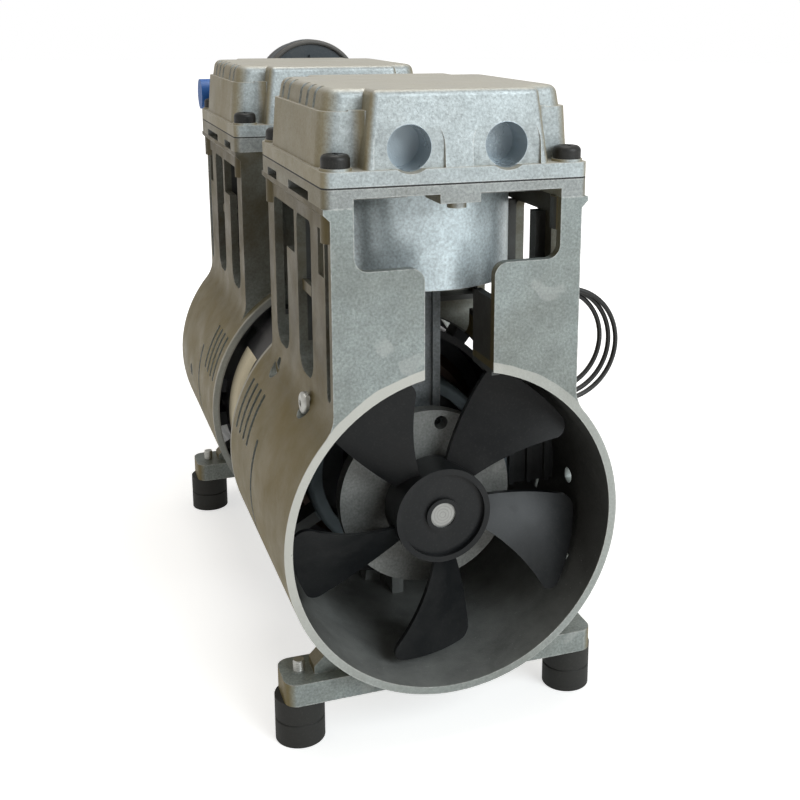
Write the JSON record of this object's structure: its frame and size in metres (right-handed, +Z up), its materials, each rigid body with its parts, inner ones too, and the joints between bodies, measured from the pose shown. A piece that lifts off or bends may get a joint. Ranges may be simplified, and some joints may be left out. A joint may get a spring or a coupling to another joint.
{
  "type": "industrial vacuum pump",
  "caption": "Twin-cylinder oil-less piston vacuum pump: open motor between two finned crankcases, a fan in each mouth, upright heads and rubber feet.",
  "frame": {"origin": "on the floor, centre of the pattern of screw holes in the undersides of the rubber feet, under the middle of the shaft", "axes": "+Z up, the shaft along Y, the front fan (the end with the open head ports) faces -Y, +X to the right seen from the front"},
  "size_m": [0.1942, 0.318, 0.2545],
  "materials": {
    "casting": "as-cast, lightly soiled",
    "head_casting": "sand blasted",
    "sleeve": "satin",
    "steel": "machined",
    "zinc_steel": "zinc plated",
    "black_steel": "black oxide",
    "crank_iron": "as-cast",
    "lamination": "dark laminated",
    "winding": "varnished copper",
    "shell_paint": "satin black",
    "rod_alloy": "die-cast",
    "fan_plastic": "moulded",
    "black_plastic": "moulded",
    "gasket": "matt",
    "cup": "filled PTFE",
    "blue_plastic": "satin",
    "foot_rubber": "moulded",
    "cord": "glossy sheath"
  },
  "bodies": {
    "frame": {"front_crankcase": "casting", "rear_crankcase": "casting", "front_left_foot": "foot_rubber", "rear_left_foot": "foot_rubber", "front_right_foot": "foot_rubber", "rear_right_foot": "foot_rubber", "foot_studs": "zinc_steel", "front_cylinder_sleeve": "sleeve", "rear_cylinder_sleeve": "sleeve", "front_valve_plate": "head_casting", "rear_valve_plate": "head_casting", "front_head_gasket": "gasket", "rear_head_gasket": "gasket", "front_intake_reed": "steel", "rear_intake_reed": "steel", "front_outlet_reed": "steel", "rear_outlet_reed": "steel", "front_outlet_stop": "steel", "rear_outlet_stop": "steel", "front_head": "head_casting", "rear_head": "head_casting", "front_head_screws": "black_steel", "rear_head_screws": "black_steel", "side_screws": "zinc_steel", "stator_core": "lamination", "motor_shell": "shell_paint", "front_windings": "winding", "rear_windings": "winding", "front_bearing_outer": "steel", "rear_bearing_outer": "steel", "filter_nipple": "black_plastic", "filter_base": "black_plastic", "filter_cover": "black_plastic", "outlet_elbow": "black_plastic", "outlet_cap": "blue_plastic", "lead_grommet": "gasket", "lead_tube": "cord", "lead_coil": "cord", "lead_tail": "cord", "lead_plug": "black_plastic"},
    "shaft": {"motor_shaft": "steel", "rotor": "lamination", "front_bearing_inner": "steel", "rear_bearing_inner": "steel", "front_crank": "crank_iron", "rear_crank": "crank_iron", "front_rod_bearing_inner": "steel", "rear_rod_bearing_inner": "steel", "front_fan": "fan_plastic", "rear_fan": "fan_plastic"},
    "front_rod": {"front_rod": "rod_alloy", "front_rod_bearing_outer": "steel", "front_piston_cup": "cup", "front_cup_retainer": "steel", "front_piston_screw": "steel"},
    "rear_rod": {"rear_rod": "rod_alloy", "rear_rod_bearing_outer": "steel", "rear_piston_cup": "cup", "rear_cup_retainer": "steel", "rear_piston_screw": "steel"}
  },
  "joints": [
    {"name": "shaft_spin", "type": "hinge", "parent": "frame", "child": "shaft", "pos_m": [0, 0, 0.0842], "axis": [0, 1, 0], "continuous": true},
    {"name": "front_crank_pin", "type": "hinge", "parent": "shaft", "child": "front_rod", "pos_m": [0, -0.08315, 0.0882], "axis": [0, 1, 0], "continuous": true},
    {"name": "rear_crank_pin", "type": "hinge", "parent": "shaft", "child": "rear_rod", "pos_m": [0, 0.08315, 0.0802], "axis": [0, 1, 0], "continuous": true}
  ],
  "couplings": [
    {"joint": "front_crank_pin", "follows": "shaft_spin", "ratio": -1},
    {"joint": "rear_crank_pin", "follows": "shaft_spin", "ratio": -1}
  ]
}
